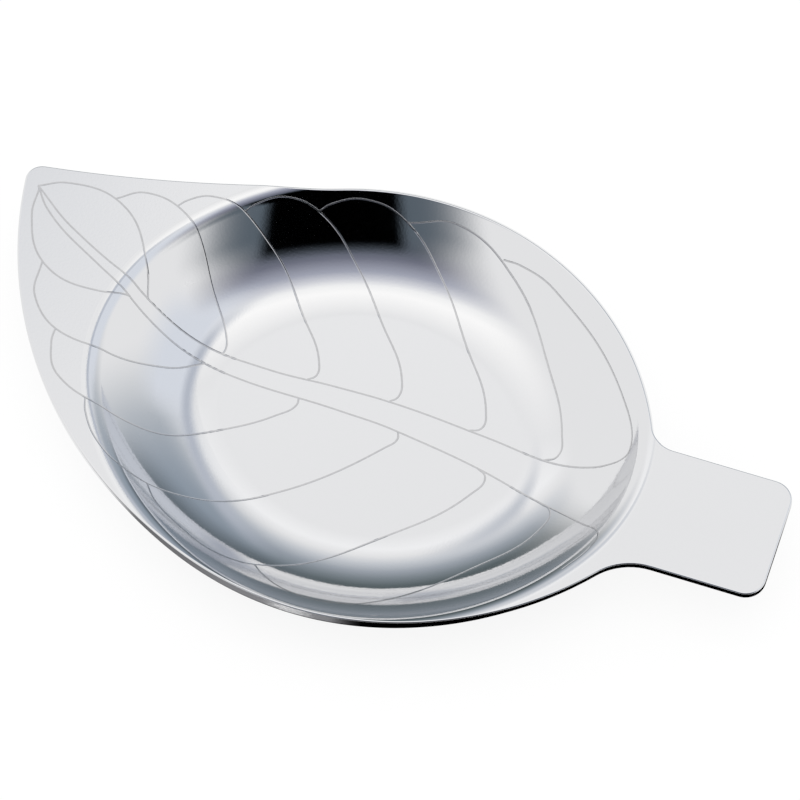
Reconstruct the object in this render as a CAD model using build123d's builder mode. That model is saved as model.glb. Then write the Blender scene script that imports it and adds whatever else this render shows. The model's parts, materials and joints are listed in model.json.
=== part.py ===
"""Tea bag rest: a leaf-shaped dish with a stem handle, pressed from one stainless sheet.

Units are millimetres. The origin is on the axis of the bowl, at the underside of its floor,
which is the face that the dish stands on. +Z is up and +X points along the stem.
"""

import os
from math import asin, cos, degrees, hypot, radians, tan

from build123d import *

# Sheet, its press radii and the break along both sides of its cut edge
sheet = 1.2
rim_bend = 1.5
floor_bend = 20.0
edge_break = 0.3

# Bowl: an oval of four tangent arcs, measured where wall and flange would meet in a corner
bowl_length = 80.8
bowl_width = 70.8
bowl_depth = 9.0
oval_join_angle = 29.5
wall_slope = 38.0

# Leaf: a round arc that cuts into each side of the bowl, and an arc from each of them to the tip
far_cut = 1.25
far_shoulder = 1.5
far_join_angle = 110.2
near_cut = 0.85
near_shoulder = 7.15
near_join_angle = 250.0
tip_reach = 18.4
tip_lean = 20.5
tip_radius = 2.4

# Stem handle
stem_reach = 20.9
stem_width = 18.4
stem_offset = -3.85
stem_corner = 3.0
far_root_radius = 4.0
near_root_radius = 9.0

# Spare blank outside the trim line, and how near to upright a cut face is
blank_margin = 5.0
upright_limit = 1e-6

# Levels and the wall's run, worked out from the sizes above
slope = radians(wall_slope)
flange_top = bowl_depth + sheet
wall_run = bowl_depth / tan(slope)
corner_shift = sheet * tan(slope / 2)

# Arcs of the oval
join = radians(oval_join_angle)
end_centre = (bowl_length - bowl_width) / 2 / (1 + tan(join) - 1 / cos(join))
side_centre = end_centre * tan(join)
bowl_end_radius = bowl_length / 2 - end_centre
bowl_side_radius = bowl_width / 2 + side_centre

# Arcs of the leaf, its tip and the corners where the stem leaves it
far_reach = bowl_width / 2 - far_cut
near_reach = bowl_width / 2 - near_cut
far_radius = ((bowl_length / 2 + far_shoulder) ** 2 + far_reach**2) / (2 * far_reach)
near_radius = ((bowl_length / 2 + near_shoulder) ** 2 + near_reach**2) / (2 * near_reach)
far_centre = far_reach - far_radius
near_centre = near_radius - near_reach
tip = (-bowl_length / 2 - tip_reach, tip_lean)
stem_end = bowl_length / 2 + stem_reach
stem_far = stem_offset + stem_width / 2
stem_near = stem_offset - stem_width / 2
far_root_angle = degrees(asin((stem_far - far_centre) / far_radius))
near_root_angle = 360 + degrees(asin((stem_near - near_centre) / near_radius))
far_root = (far_radius * cos(radians(far_root_angle)), stem_far)
near_root = (near_radius * cos(radians(near_root_angle)), stem_near)
blank_size = 2 * (max(stem_end, hypot(*tip), far_reach, near_reach) + blank_margin)


def bowl_oval(inset, height):
    """Draw the bowl's oval at a height, moved inwards all round.

    Args:
        inset: distance from the rim oval inwards.
        height: level of the sketch above the underside of the floor.

    Returns:
        The oval as a flat sketch.
    """
    end_radius = bowl_end_radius - inset
    side_radius = bowl_side_radius - inset
    with BuildSketch(Plane.XY.offset(height)) as oval:
        with BuildLine():
            for side, turn in ((1, 0), (-1, 180)):
                CenterArc((side * end_centre, 0), end_radius, turn - oval_join_angle, 2 * oval_join_angle)
                CenterArc(
                    (0, -side * side_centre), side_radius, turn + oval_join_angle, 180 - 2 * oval_join_angle
                )
        make_face()
    return oval.sketch


outer_floor_oval = bowl_oval(wall_run - corner_shift, 0)
inner_floor_oval = bowl_oval(wall_run, sheet)

# Leaf with its stem, as the blank is trimmed
with BuildSketch() as leaf_outline:
    with BuildLine():
        far_side = CenterArc((0, far_centre), far_radius, far_root_angle, far_join_angle - far_root_angle)
        TangentArc(far_side @ 1, tip, tangent=far_side % 1)
        near_side = CenterArc(
            (0, near_centre), near_radius, near_join_angle, near_root_angle - near_join_angle
        )
        TangentArc(near_side @ 0, tip, tangent=(near_side % 0) * -1)
        Line(near_side @ 1, far_side @ 0)
    make_face()
    with Locations((stem_end / 2, stem_offset)):
        Rectangle(stem_end, stem_width)
    fillet(leaf_outline.vertices().sort_by_distance(far_root)[0], far_root_radius)
    fillet(leaf_outline.vertices().sort_by_distance(near_root)[0], near_root_radius)
    fillet(leaf_outline.vertices().sort_by_distance(tip)[0], tip_radius)
    fillet(leaf_outline.vertices().group_by(Axis.X)[-1], stem_corner)

# Dish: the flat blank, drawn down into the bowl, trimmed to the leaf and broken along the cut
with BuildPart() as leaf_dish:
    with BuildSketch(Plane.XY.offset(bowl_depth)):
        Rectangle(blank_size, blank_size)
    extrude(amount=sheet)
    extrude(outer_floor_oval, amount=bowl_depth, taper=wall_slope - 90)
    outer_floor = leaf_dish.edges().group_by(Axis.Z)[0]
    fillet(outer_floor, floor_bend + sheet)
    under_rim = leaf_dish.faces().filter_by(Plane.XY).sort_by(Axis.Z)[1].inner_wires()[0].edges()
    fillet(under_rim, rim_bend)
    extrude(inner_floor_oval, amount=bowl_depth, taper=wall_slope - 90, mode=Mode.SUBTRACT)
    inner_floor = leaf_dish.faces().filter_by(Plane.XY).sort_by(Axis.Z)[1].outer_wire().edges()
    fillet(inner_floor, floor_bend)
    inner_rim = leaf_dish.faces().filter_by(Plane.XY).sort_by(Axis.Z)[-1].inner_wires()[0].edges()
    fillet(inner_rim, rim_bend + sheet)
    extrude(leaf_outline.sketch, amount=flange_top, mode=Mode.INTERSECT)
    cut_faces = leaf_dish.faces().filter_by(
        lambda face: abs(face.normal_at(face.center()).Z) < upright_limit
    )
    chamfer(cut_faces.edges().filter_by(Axis.Z, reverse=True), edge_break)

leaf_dish.part.label = "leaf_dish"
os.makedirs("parts", exist_ok=True)
export_step(leaf_dish.part, "parts/leaf_dish.step")
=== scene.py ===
"""Tea bag rest: a leaf dish pressed from polished steel sheet and engraved, on a white table.

The form is worked out in millimetres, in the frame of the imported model: the origin is on the axis
of the bowl at the underside of its floor, +Z is up and +X points along the stem. Meshes are metres.
"""

import json
import logging
import math
from dataclasses import dataclass, field
from enum import Enum

import bmesh
import bpy
import numpy as np
from mathutils import Matrix, Vector, geometry

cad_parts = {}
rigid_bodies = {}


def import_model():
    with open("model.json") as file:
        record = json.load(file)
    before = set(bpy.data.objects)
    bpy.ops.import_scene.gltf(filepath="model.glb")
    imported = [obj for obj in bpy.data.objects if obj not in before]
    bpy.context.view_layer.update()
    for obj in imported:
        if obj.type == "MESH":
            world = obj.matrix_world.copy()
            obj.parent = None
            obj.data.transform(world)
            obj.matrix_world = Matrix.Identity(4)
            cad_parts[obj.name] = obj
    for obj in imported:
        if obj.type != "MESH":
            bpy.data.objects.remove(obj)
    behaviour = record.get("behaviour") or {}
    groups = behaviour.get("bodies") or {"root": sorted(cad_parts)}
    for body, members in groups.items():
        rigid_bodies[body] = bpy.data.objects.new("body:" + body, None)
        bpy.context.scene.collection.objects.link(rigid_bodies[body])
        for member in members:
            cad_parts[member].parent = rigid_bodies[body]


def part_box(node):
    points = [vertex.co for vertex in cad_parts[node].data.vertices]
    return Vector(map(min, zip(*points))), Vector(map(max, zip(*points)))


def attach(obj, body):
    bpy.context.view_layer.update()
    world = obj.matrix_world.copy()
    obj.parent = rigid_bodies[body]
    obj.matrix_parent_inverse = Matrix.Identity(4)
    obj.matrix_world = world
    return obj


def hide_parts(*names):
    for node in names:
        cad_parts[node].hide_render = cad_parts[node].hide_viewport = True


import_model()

MM = 0.001
BODY = "root"
NODE = "leaf_dish"
FORM_NORMAL = "form_normal"

# Shortest reach from the centre of an arc that still gives a direction, in millimetres
LEAST_REACH = 0.001
# Distance from the middle of a plane of size 1 to its edges
PLANE_EDGE = 0.5

log = logging.getLogger("tea_bag_rest")


class Turn(Enum):
    """Way that an arc of the outline turns, walked with the leaf on the left."""

    CONVEX = 1
    CONCAVE = -1


class Groove(Enum):
    """Material slots of the dish: the polished sheet and the engraved lines in it."""

    SHEET = 0
    LINE = 1


def deselect_all() -> None:
    """Leave no object selected."""
    for item in bpy.context.selected_objects:
        item.select_set(False)


def make_active(item: bpy.types.Object) -> None:
    """Select one object alone and make it the active one.

    Args:
        item: the object that the next operators act on.
    """
    deselect_all()
    item.select_set(True)
    bpy.context.view_layer.objects.active = item


def apply_modifiers(item: bpy.types.Object) -> None:
    """Apply an object's modifiers in order.

    Args:
        item: the object, which keeps the shape that its modifiers gave it.
    """
    make_active(item)
    for modifier in list(item.modifiers):
        bpy.ops.object.modifier_apply(modifier=modifier.name)


def unit(vectors: np.ndarray) -> np.ndarray:
    """Scale vectors, one a row, to length 1."""
    return vectors / np.linalg.norm(vectors, axis=-1, keepdims=True)


@dataclass(frozen=True)
class BowlForm:
    """Upper face of the sheet: flat flange, rim bend, wall, floor bend and flat floor.

    The bowl's oval has four tangent arcs, measured where wall and flange would meet in a corner.
    Its section has three: the rim bend, the wall, which hollows a little, and the floor bend.
    """

    flange_top: float
    length: float = 80.8
    width: float = 70.8
    depth: float = 9.0
    join_angle: float = math.radians(29.5)
    head_slope: float = math.radians(46.0)
    foot_slope: float = math.radians(29.5)
    sheet: float = 1.2
    rim_radius: float = 4.0
    rim_shift: float = 0.7
    floor_radius: float = 19.0

    @property
    def end_centre(self) -> float:
        """Distance of the end arcs' centres from the axis of the bowl."""
        spare = 1 + math.tan(self.join_angle) - 1 / math.cos(self.join_angle)
        return (self.length - self.width) / 2 / spare

    @property
    def side_centre(self) -> float:
        """Distance of the side arcs' centres from the axis of the bowl."""
        return self.end_centre * math.tan(self.join_angle)

    @property
    def rim_tangent(self) -> float:
        """Length of flange that the rim bend takes up, which starts a little inside its corner."""
        return self.rim_radius * math.tan(self.head_slope / 2) - self.rim_shift

    @property
    def rim_drop(self) -> float:
        """Depth at which the rim bend ends and the wall begins."""
        return self.rim_radius * (1 - math.cos(self.head_slope))

    @property
    def wall_radius(self) -> float:
        """Work out the radius of the wall's hollow.

        Returns:
            The radius that makes up the depth between the two bends.
        """
        floor_rise = self.floor_radius * (1 - math.cos(self.foot_slope))
        wall_fall = self.depth - self.rim_drop - floor_rise
        return wall_fall / (math.cos(self.foot_slope) - math.cos(self.head_slope))

    @property
    def wall_inset(self) -> float:
        """Distance from the rim oval to the head of the wall."""
        return self.rim_radius * math.sin(self.head_slope) - self.rim_tangent

    @property
    def bend_inset(self) -> float:
        """Distance from the rim oval to the foot of the wall."""
        wall_run = self.wall_radius * (math.sin(self.head_slope) - math.sin(self.foot_slope))
        return self.wall_inset + wall_run

    @property
    def floor_inset(self) -> float:
        """Distance from the rim oval to the flat floor."""
        return self.bend_inset + self.floor_radius * math.sin(self.foot_slope)

    def inset(self, plan: np.ndarray) -> tuple[np.ndarray, np.ndarray]:
        """Measure how far points lie inside the rim oval.

        Args:
            plan: points, one a row, seen from above.

        Returns:
            The distances, negative outside the oval, and the directions inwards.
        """
        across = np.abs(plan)
        on_side = np.arctan2(across[:, 1] + self.side_centre, across[:, 0]) > self.join_angle
        centre_x = np.where(on_side, 0.0, np.copysign(self.end_centre, plan[:, 0]))
        centre_y = np.where(on_side, -np.copysign(self.side_centre, plan[:, 1]), 0.0)
        side_radius = self.width / 2 + self.side_centre
        end_radius = self.length / 2 - self.end_centre
        radius = np.where(on_side, side_radius, end_radius)
        out = plan - np.column_stack((centre_x, centre_y))
        reach = np.maximum(np.linalg.norm(out, axis=1), LEAST_REACH)
        return radius - reach, -out / reach[:, None]

    def tilt(self, inset: np.ndarray) -> np.ndarray:
        """Work out how steep the upper face is.

        Args:
            inset: distances inside the rim oval.

        Returns:
            The slope angles there.
        """
        over_rim = (inset + self.rim_tangent) / self.rim_radius
        over_wall = math.sin(self.head_slope) - (inset - self.wall_inset) / self.wall_radius
        over_floor = (self.floor_inset - inset) / self.floor_radius
        return np.arcsin(np.clip(np.minimum.reduce((over_rim, over_wall, over_floor)), 0, 1))

    def drop(self, inset: np.ndarray) -> np.ndarray:
        """Work out how far the upper face lies below the flange.

        Args:
            inset: distances inside the rim oval.

        Returns:
            The depths there.
        """
        level = np.cos(self.tilt(inset))
        rim = self.rim_radius * (1 - level)
        wall = self.rim_drop + self.wall_radius * (level - math.cos(self.head_slope))
        floor = self.depth - self.floor_radius * (1 - level)
        below_rim = np.where(inset < self.bend_inset, wall, floor)
        return np.where(inset < self.wall_inset, rim, below_rim)

    def surface(self, plan: np.ndarray) -> tuple[np.ndarray, np.ndarray]:
        """Find points of the upper face and its normals there.

        Args:
            plan: points, one a row, seen from above.

        Returns:
            The points on the face and the unit normals.
        """
        inset, inwards = self.inset(plan)
        tilt = self.tilt(inset)
        points = np.column_stack((plan, self.flange_top - self.drop(inset)))
        normals = np.column_stack((inwards * np.sin(tilt)[:, None], np.cos(tilt)))
        return points, normals

    def ring_insets(self, flange_rings: int, bend_rings: int, wall_rings: int) -> list[float]:
        """List the insets of the rings from the rim bend to the floor.

        Args:
            flange_rings: rings on the flange, which the caller places.
            bend_rings: steps round each bend.
            wall_rings: steps down the wall.

        Returns:
            The insets, with the flange's rings all at the start of the bend.
        """
        steps = [k / bend_rings for k in range(bend_rings + 1)]
        rim = [self.rim_radius * math.sin(self.head_slope * k) - self.rim_tangent for k in steps]
        floor = [self.floor_inset - self.floor_radius * math.sin(self.foot_slope * (1 - k))
                 for k in steps]
        wall = [rim[-1] + (floor[0] - rim[-1]) * k / wall_rings for k in range(1, wall_rings)]
        return [-self.rim_tangent] * flange_rings + rim + wall + floor


@dataclass(frozen=True)
class OutlineRun:
    """One arc or straight stretch of the outline, with the leaf on its left."""

    start: np.ndarray
    end: np.ndarray
    centre: np.ndarray | None = None
    turn: Turn = Turn.CONVEX

    def stations(self, step: float, turn_step: float) -> tuple[np.ndarray, np.ndarray]:
        """Walk the run, leaving out its end.

        Args:
            step: greatest length between points.
            turn_step: greatest angle between points on an arc.

        Returns:
            The points and the directions out of the leaf.
        """
        if self.centre is None:
            along = self.end - self.start
            count = math.ceil(np.linalg.norm(along) / step)
            points = self.start + along * (np.arange(count) / count)[:, None]
            out = unit(np.array([along[1], -along[0]]))
            return points, np.tile(out, (count, 1))
        spoke = self.start - self.centre
        radius = np.linalg.norm(spoke)
        begin = math.atan2(spoke[1], spoke[0])
        last = math.atan2(*(self.end - self.centre)[::-1])
        sweep = (self.turn.value * (last - begin)) % math.tau
        count = math.ceil(max(sweep * radius / step, sweep / turn_step))
        angles = begin + self.turn.value * sweep * np.arange(count) / count
        rays = np.column_stack((np.cos(angles), np.sin(angles)))
        return self.centre + radius * rays, self.turn.value * rays


def crossing(first: np.ndarray, first_radius: float, second: np.ndarray, second_radius: float,
             near: np.ndarray) -> np.ndarray:
    """Find where two circles cross.

    Args:
        first: centre of one circle.
        first_radius: its radius.
        second: centre of the other circle.
        second_radius: its radius.
        near: point that the wanted crossing is nearest to.

    Returns:
        The crossing nearest to that point.
    """
    apart = np.linalg.norm(second - first)
    along = (apart**2 + first_radius**2 - second_radius**2) / (2 * apart)
    aside = math.sqrt(first_radius**2 - along**2)
    line = (second - first) / apart
    foot = first + along * line
    square = np.array([-line[1], line[0]])
    spots = (foot + aside * square, foot - aside * square)
    return min(spots, key=lambda spot: np.linalg.norm(spot - near))


@dataclass(frozen=True)
class LeafOutline:
    """Edge of the leaf and its stem, seen from above, as arcs and straight runs."""

    bowl: BowlForm
    stem_end: float
    far_cut: float = 1.25
    far_shoulder: float = 1.5
    far_join_angle: float = math.radians(110.2)
    near_cut: float = 0.85
    near_shoulder: float = 7.15
    near_join_angle: float = math.radians(250.0)
    tip_reach: float = 18.4
    tip_lean: float = 20.5
    tip_radius: float = 2.4
    stem_width: float = 18.4
    stem_offset: float = -3.85
    stem_corner: float = 3.0
    far_root_radius: float = 4.0
    near_root_radius: float = 9.0
    step: float = 0.8
    turn_step: float = math.radians(6.0)

    def side_circle(self, cut: float, shoulder: float) -> tuple[float, float]:
        """Work out the round arc along one side of the leaf.

        Args:
            cut: how far it cuts into the side of the bowl.
            shoulder: how far past the ends of the bowl it crosses the middle line.

        Returns:
            Its radius and its reach from the axis of the bowl.
        """
        reach = self.bowl.width / 2 - cut
        half_chord = self.bowl.length / 2 + shoulder
        return (half_chord**2 + reach**2) / (2 * reach), reach

    @staticmethod
    def tangent_centre(start: np.ndarray, heading: np.ndarray, end: np.ndarray) -> np.ndarray:
        """Find the centre of the arc that leaves a point along a heading and ends at another.

        Args:
            start: first point of the arc.
            heading: unit direction at that point.
            end: last point of the arc.

        Returns:
            The centre.
        """
        chord = end - start
        half_turn = math.atan2(heading[0] * chord[1] - heading[1] * chord[0], heading @ chord)
        radius = np.linalg.norm(chord) / (2 * math.sin(half_turn))
        return start + radius * np.array([-heading[1], heading[0]])

    def runs(self) -> list[OutlineRun]:
        """Lay out the outline anticlockwise, from the far corner of the stem.

        Returns:
            The arcs and straight runs in order.
        """
        far_radius, far_reach = self.side_circle(self.far_cut, self.far_shoulder)
        near_radius, near_reach = self.side_circle(self.near_cut, self.near_shoulder)
        far_centre = np.array([0.0, far_reach - far_radius])
        near_centre = np.array([0.0, near_radius - near_reach])
        tip = np.array([-self.bowl.length / 2 - self.tip_reach, self.tip_lean])
        far_ray = np.array([math.cos(self.far_join_angle), math.sin(self.far_join_angle)])
        near_ray = np.array([math.cos(self.near_join_angle), math.sin(self.near_join_angle)])
        far_join = far_centre + far_radius * far_ray
        near_join = near_centre + near_radius * near_ray
        far_tip_centre = self.tangent_centre(far_join, np.array([-far_ray[1], far_ray[0]]), tip)
        near_tip_centre = self.tangent_centre(near_join, np.array([near_ray[1], -near_ray[0]]), tip)
        far_tip_radius = np.linalg.norm(tip - far_tip_centre)
        near_tip_radius = np.linalg.norm(tip - near_tip_centre)
        tip_centre = crossing(far_tip_centre, far_tip_radius + self.tip_radius,
                              near_tip_centre, near_tip_radius - self.tip_radius, tip)
        tip_far = far_tip_centre + far_tip_radius * unit(tip_centre - far_tip_centre)
        tip_near = near_tip_centre + near_tip_radius * unit(tip_centre - near_tip_centre)

        stem_far = self.stem_offset + self.stem_width / 2
        stem_near = self.stem_offset - self.stem_width / 2
        far_root_y = stem_far + self.far_root_radius
        near_root_y = stem_near - self.near_root_radius
        far_root = np.array([math.sqrt((far_radius + self.far_root_radius) ** 2
                                       - (far_root_y - far_centre[1]) ** 2), far_root_y])
        near_root = np.array([math.sqrt((near_radius + self.near_root_radius) ** 2
                                        - (near_root_y - near_centre[1]) ** 2), near_root_y])
        root_far = far_centre + far_radius * unit(far_root - far_centre)
        root_near = near_centre + near_radius * unit(near_root - near_centre)
        corner_x = self.stem_end - self.stem_corner
        far_corner = np.array([corner_x, stem_far - self.stem_corner])
        near_corner = np.array([corner_x, stem_near + self.stem_corner])
        out_x = np.array([self.stem_corner, 0.0])
        out_y = np.array([0.0, self.stem_corner])
        far_line = (far_corner + out_y, np.array([far_root[0], stem_far]))
        near_line = (np.array([near_root[0], stem_near]), near_corner - out_y)
        return [
            OutlineRun(far_corner + out_x, far_corner + out_y, far_corner),
            OutlineRun(*far_line),
            OutlineRun(far_line[1], root_far, far_root, Turn.CONCAVE),
            OutlineRun(root_far, far_join, far_centre),
            OutlineRun(far_join, tip_far, far_tip_centre, Turn.CONCAVE),
            OutlineRun(tip_far, tip_near, tip_centre),
            OutlineRun(tip_near, near_join, near_tip_centre),
            OutlineRun(near_join, root_near, near_centre),
            OutlineRun(root_near, near_line[0], near_root, Turn.CONCAVE),
            OutlineRun(*near_line),
            OutlineRun(near_corner - out_y, near_corner + out_x, near_corner),
            OutlineRun(near_corner + out_x, far_corner + out_x),
        ]

    def stations(self) -> tuple[np.ndarray, np.ndarray]:
        """Walk the whole outline.

        Returns:
            The points and the directions out of the leaf.
        """
        walked = [run.stations(self.step, self.turn_step) for run in self.runs()]
        return np.vstack([spots for spots, _ in walked]), np.vstack([out for _, out in walked])


@dataclass(frozen=True)
class PolishedSteel:
    """Pressed and polished stainless sheet, with a faint uneven polish."""

    name: str = "polished_stainless"
    colour: tuple[float, float, float] = (0.755, 0.758, 0.770)
    roughness_low: float = 0.035
    roughness_high: float = 0.075
    polish_scale: float = 260.0
    polish_detail: float = 3.0
    haze_scale: float = 2600.0
    haze_depth: float = 0.004

    def material(self) -> bpy.types.Material:
        """Make the material.

        Returns:
            The material, with its roughness and its fine bump on Object coordinates.
        """
        steel = bpy.data.materials.new(self.name)
        steel.use_nodes = True
        nodes = steel.node_tree.nodes
        links = steel.node_tree.links
        shader = nodes["Principled BSDF"]
        shader.inputs["Base Color"].default_value = (*self.colour, 1.0)
        shader.inputs["Metallic"].default_value = 1.0
        place = nodes.new("ShaderNodeTexCoord")
        polish = nodes.new("ShaderNodeTexNoise")
        polish.inputs["Scale"].default_value = self.polish_scale
        polish.inputs["Detail"].default_value = self.polish_detail
        spread = nodes.new("ShaderNodeMapRange")
        spread.inputs["To Min"].default_value = self.roughness_low
        spread.inputs["To Max"].default_value = self.roughness_high
        haze = nodes.new("ShaderNodeTexNoise")
        haze.inputs["Scale"].default_value = self.haze_scale
        bump = nodes.new("ShaderNodeBump")
        bump.inputs["Strength"].default_value = self.haze_depth
        bump.inputs["Distance"].default_value = MM
        links.new(place.outputs["Object"], polish.inputs["Vector"])
        links.new(polish.outputs["Fac"], spread.inputs["Value"])
        links.new(spread.outputs["Result"], shader.inputs["Roughness"])
        links.new(place.outputs["Object"], haze.inputs["Vector"])
        links.new(haze.outputs["Fac"], bump.inputs["Height"])
        links.new(bump.outputs["Normal"], shader.inputs["Normal"])
        return steel


@dataclass(frozen=True)
class EngravedLine:
    """Bare steel at the bottom of an engraved vein, duller than the sheet and painted darker as
    shade.
    """

    name: str = "engraved_vein_painted_shade"
    # Both tones are darker than the polished sheet: painted shade in the veins, mixed by a fine
    # noise.
    dark: tuple[float, float, float] = (0.48, 0.48, 0.49)
    light: tuple[float, float, float] = (0.60, 0.60, 0.61)
    roughness: float = 0.22
    grain_scale: float = 1800.0

    def material(self) -> bpy.types.Material:
        """Make the material.

        Returns:
            The material, its painted shade in a fine uneven tone on Object coordinates.
        """
        line = bpy.data.materials.new(self.name)
        line.use_nodes = True
        nodes = line.node_tree.nodes
        links = line.node_tree.links
        shader = nodes["Principled BSDF"]
        shader.inputs["Metallic"].default_value = 1.0
        shader.inputs["Roughness"].default_value = self.roughness
        place = nodes.new("ShaderNodeTexCoord")
        grain = nodes.new("ShaderNodeTexNoise")
        grain.inputs["Scale"].default_value = self.grain_scale
        tones = nodes.new("ShaderNodeValToRGB")
        tones.color_ramp.elements[0].color = (*self.dark, 1.0)
        tones.color_ramp.elements[1].color = (*self.light, 1.0)
        links.new(place.outputs["Object"], grain.inputs["Vector"])
        links.new(grain.outputs["Fac"], tones.inputs["Fac"])
        links.new(tones.outputs["Color"], shader.inputs["Base Color"])
        return line


@dataclass(frozen=True)
class Vein:
    """One engraved line, drawn from above through a few points in millimetres."""

    name: str
    points: tuple[tuple[float, float], ...]


@dataclass
class VeinCutter:
    """Round graver that follows the sheet and leaves the veins in it."""

    bowl: BowlForm
    radius: float = 0.32
    depth: float = 0.04
    step: float = 0.5
    round_steps: int = 4
    veins: tuple[Vein, ...] = (
        Vein("midrib_far", ((-56.2, 17.4), (-49.1, 12.4), (-32.0, 5.5), (-16.6, 4.0), (-6.8, 4.4),
                            (2.4, 4.5), (16.0, 3.5), (31.3, 2.1), (34.9, 2.6), (36.6, 3.4),
                            (37.1, 4.4), (34.5, 11.3), (19.3, 26.2), (13.4, 28.7), (10.6, 29.1))),
        Vein("midrib_near", ((-56.2, 17.4), (-53.6, 14.2), (-44.6, 8.5), (-34.9, 4.1), (-22.6, 1.5),
                             (-4.6, 0.9), (3.7, 0.4), (27.2, -4.5), (33.8, -7.6), (37.0, -10.0),
                             (36.6, -12.6), (34.0, -17.1))),
        Vein("far_1", ((-35.6, 6.5), (-37.0, 10.3), (-43.8, 18.4), (-52.4, 19.2), (-56.2, 17.4))),
        Vein("far_2", ((-23.7, 4.2), (-23.5, 5.1), (-24.0, 6.9), (-27.6, 12.0), (-33.7, 19.3),
                       (-41.2, 21.2), (-44.9, 18.9))),
        Vein("far_3", ((-10.9, 4.2), (-9.8, 5.2), (-10.2, 7.6), (-14.2, 13.2), (-22.1, 21.3),
                       (-31.7, 23.7), (-35.0, 21.9), (-36.0, 20.6))),
        Vein("far_4", ((1.3, 4.5), (2.4, 5.6), (2.0, 8.6), (-3.4, 16.1), (-9.7, 23.3),
                       (-16.6, 27.7), (-21.8, 27.5), (-25.6, 24.9), (-26.8, 23.4))),
        Vein("far_5", ((13.6, 3.7), (15.3, 4.6), (15.1, 7.3), (8.9, 16.9), (2.6, 25.1),
                       (-4.9, 30.7), (-10.8, 31.3), (-15.6, 29.2), (-17.0, 27.8))),
        Vein("far_6", ((25.2, 2.4), (27.0, 3.4), (26.5, 7.1), (21.7, 16.1), (12.8, 27.1),
                       (2.7, 31.9), (-4.4, 30.5))),
        Vein("near_1", ((-37.8, 5.2), (-41.7, 3.9), (-50.6, 5.4), (-55.4, 12.6), (-55.9, 17.0))),
        Vein("near_2", ((-25.5, 1.9), (-30.4, -1.3), (-43.2, -4.5), (-50.3, 0.2), (-51.3, 5.9))),
        Vein("near_3", ((-11.0, 1.0), (-10.9, -0.1), (-13.2, -2.7), (-19.7, -7.3), (-30.5, -12.6),
                        (-42.7, -10.8), (-45.5, -6.0), (-45.7, -3.8))),
        Vein("near_4", ((4.2, 0.3), (4.5, -0.8), (3.2, -2.7), (-8.0, -13.6), (-21.2, -20.5),
                        (-29.2, -21.1), (-33.5, -19.1), (-37.1, -14.9), (-37.9, -12.8))),
        Vein("near_5", ((16.7, -1.6), (18.2, -2.6), (17.0, -6.0), (7.0, -16.7), (-5.8, -26.8),
                        (-12.2, -28.3), (-19.1, -26.3), (-23.8, -23.6), (-25.7, -21.4))),
        Vein("near_6", ((26.8, -4.4), (28.7, -5.5), (28.3, -9.0), (20.8, -18.2), (10.5, -28.0),
                        (5.9, -30.3), (-1.3, -30.8), (-5.9, -29.0), (-7.6, -27.6))),
    )

    def plan_points(self, vein: Vein) -> np.ndarray:
        """Draw a vein as a smooth curve from above.

        Args:
            vein: the line and the points that it passes.

        Returns:
            Points along the curve, close together.
        """
        bpy.ops.curve.primitive_bezier_curve_add()
        drawn = bpy.context.active_object
        knots = drawn.data.splines[0].bezier_points
        knots.add(len(vein.points) - len(knots))
        for knot, (x, y) in zip(knots, vein.points):
            knot.co = (x, y, 0.0)
            knot.handle_left_type = "AUTO"
            knot.handle_right_type = "AUTO"
        bpy.context.view_layer.update()
        curve = []
        for first, second in zip(knots[:-1], knots[1:]):
            count = math.ceil((second.co - first.co).length / self.step)
            curve += geometry.interpolate_bezier(
                first.co, first.handle_right, second.handle_left, second.co, count + 1)[:-1]
        curve.append(knots[-1].co.copy())
        bpy.ops.object.delete()
        return np.array([spot[:2] for spot in curve])

    def tube(self, vein: Vein) -> bpy.types.Object:
        """Make the solid that a vein takes out of the sheet.

        Args:
            vein: the line to cut.

        Returns:
            A closed tube that dips into the upper face along the line.
        """
        points, normals = self.bowl.surface(self.plan_points(vein))
        axis = points + normals * (self.radius - self.depth)
        curve = bpy.data.curves.new(vein.name, "CURVE")
        curve.dimensions = "3D"
        curve.bevel_depth = self.radius * MM
        curve.bevel_resolution = self.round_steps
        curve.use_fill_caps = True
        curve.twist_mode = "Z_UP"
        spline = curve.splines.new("POLY")
        spline.points.add(len(axis) - 1)
        for knot, spot in zip(spline.points, axis * MM):
            knot.co = (*spot, 1.0)
        tube = bpy.data.objects.new(f"cutter_{vein.name}", curve)
        bpy.context.collection.objects.link(tube)
        make_active(tube)
        bpy.ops.object.convert(target="MESH")
        return bpy.context.active_object

    def engrave(self, dish: bpy.types.Object, line: bpy.types.Material) -> None:
        """Cut every vein into the dish.

        Args:
            dish: the closed mesh of the dish.
            line: material of the faces that the cut leaves, painted darker as shade.
        """
        cutters = bpy.data.collections.new("vein_cutters")
        bpy.context.scene.collection.children.link(cutters)
        for vein in self.veins:
            deselect_all()
            tube = self.tube(vein)
            tube.data.materials.append(line)
            for holder in list(tube.users_collection):
                holder.objects.unlink(tube)
            cutters.objects.link(tube)
        cut = dish.modifiers.new("veins", "BOOLEAN")
        cut.operation = "DIFFERENCE"
        cut.solver = "EXACT"
        cut.operand_type = "COLLECTION"
        cut.collection = cutters
        cut.material_mode = "TRANSFER"
        apply_modifiers(dish)
        for tube in list(cutters.objects):
            bpy.data.objects.remove(tube)
        bpy.data.collections.remove(cutters)


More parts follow.
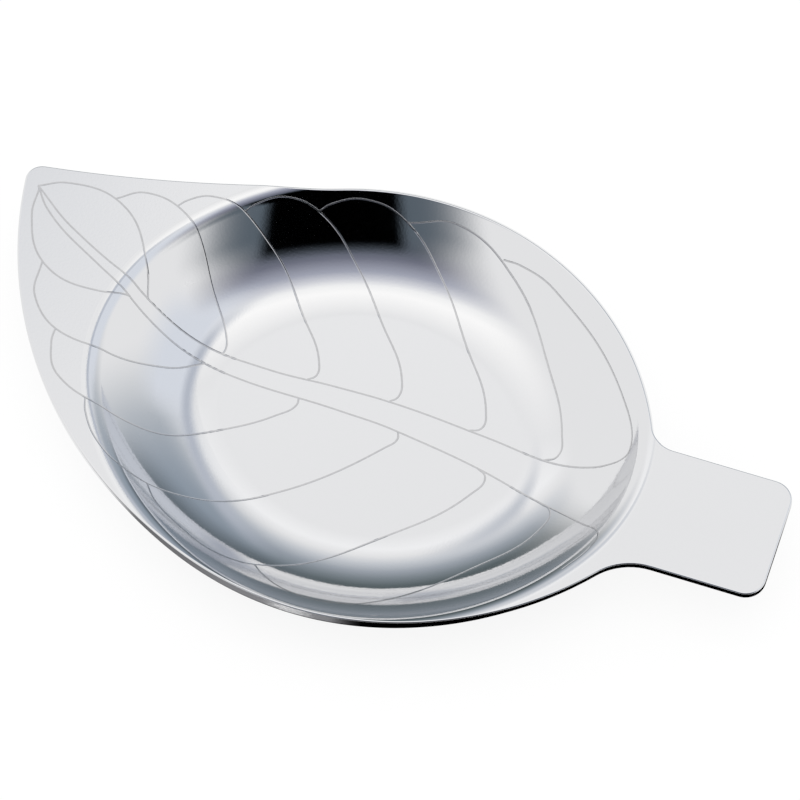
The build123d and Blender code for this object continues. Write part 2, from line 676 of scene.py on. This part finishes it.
@dataclass
class LeafDish:
    """The dish: one sheet with a bowl, a leaf-shaped flange, a stem and engraved veins."""

    bowl: BowlForm
    outline: LeafOutline
    steel: PolishedSteel = field(default_factory=PolishedSteel)
    line: EngravedLine = field(default_factory=EngravedLine)
    upper_round: float = 0.25
    lower_round: float = 0.2
    edge_rings: int = 5
    flange_rings: int = 4
    bend_rings: int = 9
    wall_rings: int = 8
    ring_gap: float = 0.05
    smooth_angle: float = math.radians(35.0)

    def rings(self) -> list[tuple[np.ndarray, np.ndarray]]:
        """Work out the rings of the sheet, from its floor over the cut edge and back below.

        Returns:
            For each ring its points and the outward normals there, one row for each station.
        """
        plan, out = self.outline.stations()
        inset, inwards = self.bowl.inset(plan)
        tilt = self.bowl.tilt(inset)
        lean = self.bowl.sheet / 2 * np.sin(tilt)
        edge, up = self.bowl.surface(plan + lean[:, None] * inwards)
        along = np.column_stack((-out[:, 1], out[:, 0]))
        climb = -np.tan(tilt) * np.sum(inwards * along, axis=1)
        away = unit(np.cross(np.column_stack((along, climb)), up))

        start = (edge - self.upper_round * away)[:, :2]
        start_inset, start_inwards = self.bowl.inset(start)
        oval = start - start_inset[:, None] * start_inwards
        upper = [self.bowl.surface(start)]
        insets = self.bowl.ring_insets(self.flange_rings, self.bend_rings, self.wall_rings)
        for number, ring_inset in enumerate(insets, 1):
            share = min(number / (self.flange_rings + 1), 1.0)
            wanted = start_inset + (ring_inset - start_inset) * share
            kept = np.maximum(wanted, start_inset + number * self.ring_gap)
            upper.append(self.bowl.surface(oval + kept[:, None] * start_inwards))

        edge_ring = []
        for number in range(1, self.edge_rings + 1):
            turn = math.pi / 2 * number / self.edge_rings
            normal = math.sin(turn) * away + math.cos(turn) * up
            edge_ring.append((edge - self.upper_round * (away + up - normal), normal))
        for number in range(self.edge_rings, -1, -1):
            turn = math.pi / 2 * number / self.edge_rings
            normal = math.sin(turn) * away - math.cos(turn) * up
            centre = edge - self.lower_round * away - (self.bowl.sheet - self.lower_round) * up
            edge_ring.append((centre + self.lower_round * normal, normal))

        lower = [(points - self.bowl.sheet * normals, -normals) for points, normals in upper[1:]]
        return upper[::-1] + edge_ring + lower

    def build(self) -> bpy.types.Object:
        """Model the sheet ring by ring, from its floor over the cut edge and back below.

        Returns:
            The dish as one closed mesh.
        """
        rings = self.rings()
        count = len(rings[0][0])
        deselect_all()
        bpy.ops.mesh.primitive_circle_add(vertices=count, radius=self.bowl.width * MM / 2)
        dish = bpy.context.active_object
        dish.name = "leaf_dish_polished"
        dish.data.name = dish.name
        dish.data.attributes.new(FORM_NORMAL, "FLOAT_VECTOR", "POINT")
        bpy.ops.object.mode_set(mode="EDIT")
        for number, (points, normals) in enumerate(rings):
            if number:
                bpy.ops.mesh.extrude_edges_move()
            self.place_ring(dish.data, points * MM, normals)
        bpy.ops.mesh.edge_face_add()
        shell = bmesh.from_edit_mesh(dish.data)
        for vertex in shell.verts:
            vertex.select = vertex.index < count
        shell.select_flush_mode()
        bmesh.update_edit_mesh(dish.data)
        bpy.ops.mesh.edge_face_add()
        bpy.ops.mesh.select_all(action="SELECT")
        bpy.ops.mesh.normals_make_consistent(inside=False)
        bpy.ops.object.mode_set(mode="OBJECT")
        return dish

    @staticmethod
    def place_ring(mesh: bpy.types.Mesh, points: np.ndarray, normals: np.ndarray) -> None:
        """Move the ring that is selected in edit mode to its place.

        Args:
            mesh: mesh in edit mode, whose newest vertices are the ring.
            points: places of the ring's vertices, in order.
            normals: normals of the form there.
        """
        shell = bmesh.from_edit_mesh(mesh)
        shell.verts.ensure_lookup_table()
        layer = shell.verts.layers.float_vector[FORM_NORMAL]
        for vertex, point, normal in zip(shell.verts[-len(points):], points, normals):
            vertex.co = point
            vertex[layer] = normal
        bmesh.update_edit_mesh(mesh)

    def dress(self, dish: bpy.types.Object) -> None:
        """Engrave the veins and give the dish its finish, the veins' painted shade and its smooth
        shading.

        Args:
            dish: the closed mesh of the sheet.
        """
        make_active(dish)
        dish.data.attributes.active = dish.data.attributes[FORM_NORMAL]
        bpy.ops.geometry.attribute_convert(mode="GENERIC", domain="CORNER",
                                           data_type="FLOAT_VECTOR")
        # The line material paints shade into the veins with its darker tone.
        finish_and_shade = {Groove.SHEET: self.steel.material(), Groove.LINE: self.line.material()}
        for groove in Groove:
            dish.data.materials.append(finish_and_shade[groove])
        VeinCutter(self.bowl).engrave(dish, finish_and_shade[Groove.LINE])
        make_active(dish)
        bpy.ops.object.shade_smooth_by_angle(angle=self.smooth_angle)
        self.follow_form(dish.data)
        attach(dish, BODY)
        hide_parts(NODE)

    @staticmethod
    def follow_form(mesh: bpy.types.Mesh) -> None:
        """Shade the polished faces by the normals of the form, and the engraved ones by their own.

        Args:
            mesh: the engraved mesh, with the form's normals on its corners.
        """
        layer = mesh.attributes[FORM_NORMAL]
        normals = np.zeros(len(mesh.loops) * 3, dtype=np.float32)
        layer.data.foreach_get("vector", normals)
        normals = normals.reshape(-1, 3)
        engraved = np.zeros(len(mesh.polygons), dtype=np.int32)
        mesh.polygons.foreach_get("material_index", engraved)
        sizes = np.zeros(len(mesh.polygons), dtype=np.int32)
        mesh.polygons.foreach_get("loop_total", sizes)
        normals[np.repeat(engraved == Groove.LINE.value, sizes)] = 0.0
        mesh.attributes.remove(layer)
        mesh.normals_split_custom_set(normals.tolist())


@dataclass(frozen=True)
class PaperArch:
    """Paper band that arches over the dish, from the horizon behind it to the one below the camera.

    Its tones follow the angle along the arch, and its sides fade out between two angles aside.
    """

    name: str = "paper_arch"
    radius: float = 2.0
    facets: int = 96
    left: tuple[float, float] = (math.radians(-38.0), math.radians(-14.0))
    right: tuple[float, float] = (math.radians(44.0), math.radians(20.0))
    tones: tuple[tuple[float, tuple[float, float, float]], ...] = (
        (math.radians(0.0), (0.08, 0.10, 0.11)),
        (math.radians(9.0), (0.13, 0.16, 0.17)),
        (math.radians(19.0), (0.26, 0.30, 0.33)),
        (math.radians(27.0), (0.42, 0.46, 0.51)),
        (math.radians(36.0), (0.70, 0.73, 0.77)),
        (math.radians(44.0), (1.00, 1.00, 1.00)),
        (math.radians(51.0), (1.13, 1.13, 1.13)),
        (math.radians(64.0), (1.02, 1.02, 1.02)),
        (math.radians(84.0), (1.26, 1.25, 1.23)),
        (math.radians(90.0), (1.15, 1.15, 1.14)),
        (math.radians(95.0), (0.82, 0.83, 0.88)),
        (math.radians(102.0), (0.46, 0.48, 0.57)),
        (math.radians(114.0), (0.20, 0.21, 0.27)),
        (math.radians(122.0), (0.11, 0.13, 0.16)),
        (math.radians(154.0), (0.11, 0.13, 0.16)),
        (math.radians(160.0), (0.55, 0.57, 0.60)),
        (math.radians(166.0), (1.00, 1.00, 1.00)),
    )


@dataclass(frozen=True)
class Card:
    """Soft-edged card of the studio, between the dish and the paper arch.

    Its place is an angle along the arch and an angle aside from it, to the right. Its size is given
    for a distance of 1, and its fades are shares of it, at the left, the right, the start of the
    arch and the end.
    """

    name: str
    arch: float
    aside: float
    distance: float
    size: tuple[float, float]
    fade: tuple[float, float, float, float]
    colour: tuple[float, float, float]


@dataclass(frozen=True)
class TableSheet:
    """Soft-edged sheet on the table, which the near edge of the dish mirrors.

    Its place is given to the right of the dish and behind it, negative in front. Its size is width
    and length, and its fades are shares of it, at the left, the right, the front and the back.
    """

    name: str
    right: float
    behind: float
    size: tuple[float, float]
    fade: tuple[float, float, float, float]
    colour: tuple[float, float, float]


@dataclass
class Studio:
    """White table, soft light, paper, cards and the camera of the photograph.

    Lengths are metres, but millimetres for the lens and its sensor.
    """

    flange_top: float
    aim: tuple[float, float] = (4.35 * MM, 0.76 * MM)
    turn: float = math.radians(18.5)
    elevation: float = math.radians(62.0)
    distance: float = 0.7
    lens: float = 223.65
    sensor: float = 36.0
    floor_size: float = 8.0
    floor_gap: float = 0.00005
    floor_colour: float = 0.95
    shadow_lift: float = 0.88
    lamp_size: float = 1.6
    lamp_height: float = 1.8
    lamp_power: float = 8.0
    paper: PaperArch = field(default_factory=PaperArch)
    cards: tuple[Card, ...] = (
        Card("side_card", math.radians(28.5), math.radians(37.5), 1.6, (1.30, 2.00),
             (0.38, 0.60, 0.02, 0.65), (0.33, 0.39, 0.46)),
        Card("foot_card", math.radians(6.0), math.radians(26.0), 1.3, (0.85, 0.54),
             (0.30, 0.45, 0.02, 0.80), (0.08, 0.10, 0.11)),
        Card("pale_card", math.radians(76.0), math.radians(38.0), 1.35, (0.90, 1.15),
             (0.25, 0.40, 0.30, 0.30), (0.85, 0.89, 0.96)),
        Card("right_strip", math.radians(56.0), math.radians(19.5), 1.0, (0.24, 1.70),
             (0.50, 0.50, 0.40, 0.35), (0.58, 0.62, 0.70)),
        Card("left_strip", math.radians(48.0), math.radians(-8.5), 1.3, (0.23, 0.62),
             (0.50, 0.50, 0.42, 0.45), (0.70, 0.73, 0.78)),
        Card("camera_wall", math.radians(142.0), math.radians(6.0), 1.3, (2.02, 0.89),
             (0.35, 0.35, 0.31, 0.22), (0.12, 0.15, 0.18)),
        Card("camera_flag", math.radians(140.0), math.radians(5.0), 1.2, (0.76, 0.89),
             (0.12, 0.12, 0.19, 0.16), (0.0, 0.0, 0.0)),
        Card("front_flag", math.radians(175.5), math.radians(0.0), 0.45, (2.40, 0.26),
             (0.15, 0.15, 0.30, 0.02), (0.0, 0.0, 0.0)),
    )
    sheets: tuple[TableSheet, ...] = (
        TableSheet("grey_sheet", -0.090, -0.265, (0.160, 0.510),
                   (0.45, 0.05, 0.05, 0.02), (0.28, 0.28, 0.29)),
        TableSheet("black_sheet", 0.015, -0.265, (0.150, 0.510),
                   (0.30, 0.07, 0.05, 0.02), (0.0, 0.0, 0.0)),
    )

    @property
    def target(self) -> tuple[float, float, float]:
        """Point at the level of the flange that the camera looks at."""
        return (*self.aim, self.flange_top)

    def axes(self, arch: float, aside: float) -> tuple[Vector, Vector, Vector]:
        """Give the directions at a place round the dish.

        Args:
            arch: angle along the arch from the horizon behind the dish.
            aside: angle from the arch to the right.

        Returns:
            The unit directions across the arch, along it and from the dish to the place.
        """
        right = Vector((math.cos(self.turn), math.sin(self.turn), 0.0))
        behind = Vector((-math.sin(self.turn), math.cos(self.turn), 0.0))
        up = Vector((0.0, 0.0, 1.0))
        middle = math.cos(arch) * behind + math.sin(arch) * up
        across = math.cos(aside) * right - math.sin(aside) * middle
        along = math.cos(arch) * up - math.sin(arch) * behind
        return across, along, math.sin(aside) * right + math.cos(aside) * middle

    def build(self) -> None:
        """Make the table, the paper, the cards, the sheets, the light and the camera."""
        self.world()
        self.floor()
        self.arch()
        for card in self.cards:
            self.card(card)
        for layer, sheet in enumerate(self.sheets, 1):
            self.sheet(sheet, layer)
        self.softbox()
        self.camera()
        bpy.context.scene.view_settings.view_transform = "Standard"

    def world(self) -> None:
        """Surround the table with plain white."""
        world = bpy.data.worlds.new("white_room")
        world.use_nodes = True
        world.node_tree.nodes["Background"].inputs["Color"].default_value = (1.0, 1.0, 1.0, 1.0)
        world.node_tree.nodes["Background"].inputs["Strength"].default_value = 1.0
        bpy.context.scene.world = world

    def floor(self) -> None:
        """Lay the white table, which keeps a pale shadow of the dish."""
        deselect_all()
        bpy.ops.mesh.primitive_plane_add(size=self.floor_size, location=(0.0, 0.0, -self.floor_gap))
        table = bpy.context.active_object
        table.name = "white_table"
        paint = bpy.data.materials.new("white_table")
        paint.use_nodes = True
        nodes = paint.node_tree.nodes
        links = paint.node_tree.links
        nodes.remove(nodes["Principled BSDF"])
        matt = nodes.new("ShaderNodeBsdfDiffuse")
        matt.inputs["Color"].default_value = (*[self.floor_colour] * 3, 1.0)
        glow = nodes.new("ShaderNodeEmission")
        rays = nodes.new("ShaderNodeLightPath")
        seen = nodes.new("ShaderNodeMath")
        seen.operation = "MAXIMUM"
        mirrored = nodes.new("ShaderNodeMath")
        mirrored.operation = "MAXIMUM"
        lift = nodes.new("ShaderNodeMath")
        lift.operation = "MULTIPLY"
        lift.inputs[1].default_value = self.shadow_lift
        mix = nodes.new("ShaderNodeMixShader")
        links.new(rays.outputs["Is Camera Ray"], seen.inputs[0])
        links.new(rays.outputs["Is Glossy Ray"], seen.inputs[1])
        links.new(seen.outputs[0], mirrored.inputs[0])
        links.new(rays.outputs["Is Transmission Ray"], mirrored.inputs[1])
        links.new(mirrored.outputs[0], lift.inputs[0])
        links.new(lift.outputs[0], mix.inputs["Fac"])
        links.new(matt.outputs[0], mix.inputs[1])
        links.new(glow.outputs[0], mix.inputs[2])
        links.new(mix.outputs[0], nodes["Material Output"].inputs["Surface"])
        table.data.materials.append(paint)

    @staticmethod
    def soft_paint(name: str, fades: list[tuple[str, float, float]]
                   ) -> tuple[bpy.types.Material, bpy.types.Node, bpy.types.Node]:
        """Make a glowing paint that fades out towards the sides.

        Args:
            name: name of the material.
            fades: an axis of the object, where on it the paint begins and where it covers.

        Returns:
            The material, its glow and the node that gives the place on the object.
        """
        paint = bpy.data.materials.new(name)
        paint.use_nodes = True
        nodes = paint.node_tree.nodes
        links = paint.node_tree.links
        nodes.remove(nodes["Principled BSDF"])
        place = nodes.new("ShaderNodeSeparateXYZ")
        links.new(nodes.new("ShaderNodeTexCoord").outputs["Object"], place.inputs[0])
        mix = nodes.new("ShaderNodeMixShader")
        cover = None
        for axis, begin, full in fades:
            ramp = nodes.new("ShaderNodeMapRange")
            ramp.interpolation_type = "SMOOTHSTEP"
            ramp.inputs["From Min"].default_value = begin
            ramp.inputs["From Max"].default_value = full
            links.new(place.outputs[axis], ramp.inputs["Value"])
            share = ramp.outputs["Result"]
            if cover is not None:
                both = nodes.new("ShaderNodeMath")
                both.operation = "MULTIPLY"
                links.new(cover, both.inputs[0])
                links.new(share, both.inputs[1])
                share = both.outputs[0]
            cover = share
        glow = nodes.new("ShaderNodeEmission")
        links.new(cover, mix.inputs["Fac"])
        links.new(nodes.new("ShaderNodeBsdfTransparent").outputs[0], mix.inputs[1])
        links.new(glow.outputs[0], mix.inputs[2])
        links.new(mix.outputs[0], nodes["Material Output"].inputs["Surface"])
        return paint, glow, place

    @staticmethod
    def show_to_steel(panel: bpy.types.Object, paint: bpy.types.Material) -> None:
        """Paint a panel of the studio, which the steel mirrors and the camera doesn't see.

        Args:
            panel: the panel.
            paint: its glowing paint.
        """
        panel.data.materials.append(paint)
        panel.visible_camera = False
        panel.visible_diffuse = False
        panel.visible_shadow = False

    def arch(self) -> None:
        """Bend the paper over the dish."""
        paper = self.paper
        right, up, behind = self.axes(0.0, 0.0)
        sides = [paper.radius * math.tan(angle) for angle in (*paper.left, *paper.right)]
        deselect_all()
        bpy.ops.mesh.primitive_cylinder_add(
            vertices=paper.facets, radius=paper.radius, depth=2 * max(-sides[0], sides[2]),
            end_fill_type="NOTHING", location=self.target,
            rotation=Matrix((behind, up, right)).transposed().to_euler())
        band = bpy.context.active_object
        band.name = paper.name
        paint, glow, place = self.soft_paint(paper.name, [("Z", *sides[:2]), ("Z", *sides[2:])])
        nodes = paint.node_tree.nodes
        links = paint.node_tree.links
        angle = nodes.new("ShaderNodeMath")
        angle.operation = "ARCTAN2"
        links.new(place.outputs["Y"], angle.inputs[0])
        links.new(place.outputs["X"], angle.inputs[1])
        share = nodes.new("ShaderNodeMapRange")
        share.inputs["From Max"].default_value = math.pi
        links.new(angle.outputs[0], share.inputs["Value"])
        ramp = nodes.new("ShaderNodeValToRGB")
        stops = ramp.color_ramp.elements
        for _ in paper.tones[2:]:
            stops.new(1.0)
        for stop, (spot, colour) in zip(stops, paper.tones):
            stop.position = spot / math.pi
            stop.color = (*colour, 1.0)
        links.new(share.outputs["Result"], ramp.inputs["Fac"])
        links.new(ramp.outputs["Color"], glow.inputs["Color"])
        self.show_to_steel(band, paint)

    def card(self, card: Card) -> None:
        """Hang one card round the table.

        Args:
            card: its place, its size, its soft edges and its tone.
        """
        across, along, way = self.axes(card.arch, card.aside)
        spot = Vector(self.target) + way * card.distance
        size = (card.size[0] * card.distance, card.size[1] * card.distance)
        self.panel(card.name, spot, Matrix((across, along, -way)), size, card.fade, card.colour)

    def sheet(self, sheet: TableSheet, layer: int) -> None:
        """Lay one sheet on the table.

        Args:
            sheet: its place, its size, its soft edges and its tone.
            layer: how many sheets up from the table it lies.
        """
        right, up, behind = self.axes(0.0, 0.0)
        spot = Vector(self.target) + right * sheet.right + behind * sheet.behind
        spot.z = layer * self.floor_gap
        axes = Matrix((right, behind, up))
        self.panel(sheet.name, spot, axes, sheet.size, sheet.fade, sheet.colour)

    def panel(self, name: str, spot: Vector, axes: Matrix, size: tuple[float, float],
              fade: tuple[float, float, float, float], colour: tuple[float, float, float]) -> None:
        """Place one flat panel with soft edges.

        Args:
            name: its name.
            spot: its centre.
            axes: its directions across, along and square to it, one a row.
            size: its width and its length.
            fade: shares of the size that fade out at the left, the right, the start and the end.
            colour: its tone.
        """
        deselect_all()
        bpy.ops.mesh.primitive_plane_add(size=1.0)
        panel = bpy.context.active_object
        panel.name = name
        panel.location = spot
        panel.rotation_euler = axes.transposed().to_euler()
        panel.scale = (*size, 1.0)
        sides = zip("XXYY", (-PLANE_EDGE, PLANE_EDGE) * 2, fade)
        fades = [(axis, edge, edge - math.copysign(share, edge)) for axis, edge, share in sides]
        paint, glow, _ = self.soft_paint(name, fades)
        glow.inputs["Color"].default_value = (*colour, 1.0)
        self.show_to_steel(panel, paint)

    def softbox(self) -> None:
        """Hang a wide soft light over the table."""
        light = bpy.data.lights.new("softbox", "AREA")
        light.shape = "SQUARE"
        light.size = self.lamp_size
        light.energy = self.lamp_power
        lamp = bpy.data.objects.new("softbox", light)
        lamp.location = Vector(self.target) + Vector((0.0, 0.0, self.lamp_height))
        lamp.visible_glossy = False
        bpy.context.scene.collection.objects.link(lamp)

    def camera(self) -> None:
        """Place the camera where the photograph was taken from."""
        lens = bpy.data.cameras.new("photo_camera")
        lens.lens = self.lens
        lens.sensor_width = self.sensor
        lens.sensor_fit = "HORIZONTAL"
        eye = bpy.data.objects.new("photo_camera", lens)
        back = self.axes(math.pi - self.elevation, 0.0)[2]
        eye.location = Vector(self.target) + back * self.distance
        eye.rotation_euler = back.to_track_quat("Z", "Y").to_euler()
        bpy.context.scene.collection.objects.link(eye)
        bpy.context.scene.camera = eye


def main() -> None:
    """Build the dish and the studio round it."""
    logging.basicConfig(level=logging.INFO, format="%(message)s")
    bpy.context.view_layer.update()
    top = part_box(NODE)[1]
    bowl = BowlForm(flange_top=top[2] / MM)
    dish = LeafDish(bowl, LeafOutline(bowl, stem_end=top[0] / MM))
    mesh = dish.build()
    dish.dress(mesh)
    log.info("%s: %d faces", mesh.name, len(mesh.data.polygons))
    Studio(flange_top=top[2]).build()


if __name__ == "__main__":
    main()
